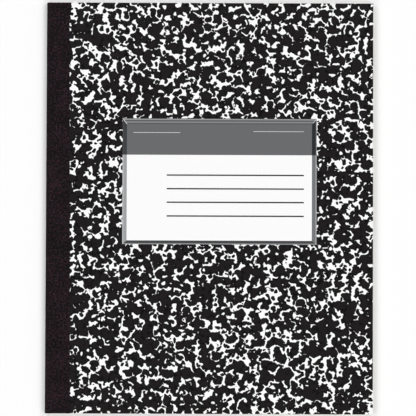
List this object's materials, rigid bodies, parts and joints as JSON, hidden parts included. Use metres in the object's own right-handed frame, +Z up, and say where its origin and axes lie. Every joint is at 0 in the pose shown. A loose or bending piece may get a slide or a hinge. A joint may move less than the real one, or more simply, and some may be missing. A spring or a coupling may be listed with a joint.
{
  "type": "composition notebook",
  "caption": "Thin sewn notebook lying flat, with black and white marbled card covers, a cloth-taped spine and a ruled name label on the front.",
  "frame": {"origin": "middle of the closed book's footprint, on the surface that it lies on", "axes": "+X from the spine to the fore edge, +Y from the foot to the head, +Z up through the front cover"},
  "size_m": [0.2022, 0.254, 0.0047],
  "materials": {
    "page_paper": "matt, ruled",
    "sewing_thread": "matt",
    "marbled_card": "satin print",
    "cloth_tape": "matt cloth grain",
    "label_paper": "satin print"
  },
  "bodies": {
    "book_block": {"page_block": "page_paper", "binding_thread": "sewing_thread"},
    "front_board": {"front_cover": "marbled_card", "spine_tape_front": "cloth_tape", "cover_label": "label_paper"},
    "back_board": {"back_cover": "marbled_card", "spine_tape_back": "cloth_tape"}
  },
  "joints": [
    {"name": "front_cover_hinge", "type": "hinge", "parent": "book_block", "child": "front_board", "pos_m": [-0.1011, 0, 0.00234], "axis": [0, -1, 0], "range_deg": [0, 180]},
    {"name": "back_cover_hinge", "type": "hinge", "parent": "book_block", "child": "back_board", "pos_m": [-0.1011, 0, 0.00234], "axis": [0, 1, 0], "range_deg": [0, 180]}
  ]
}
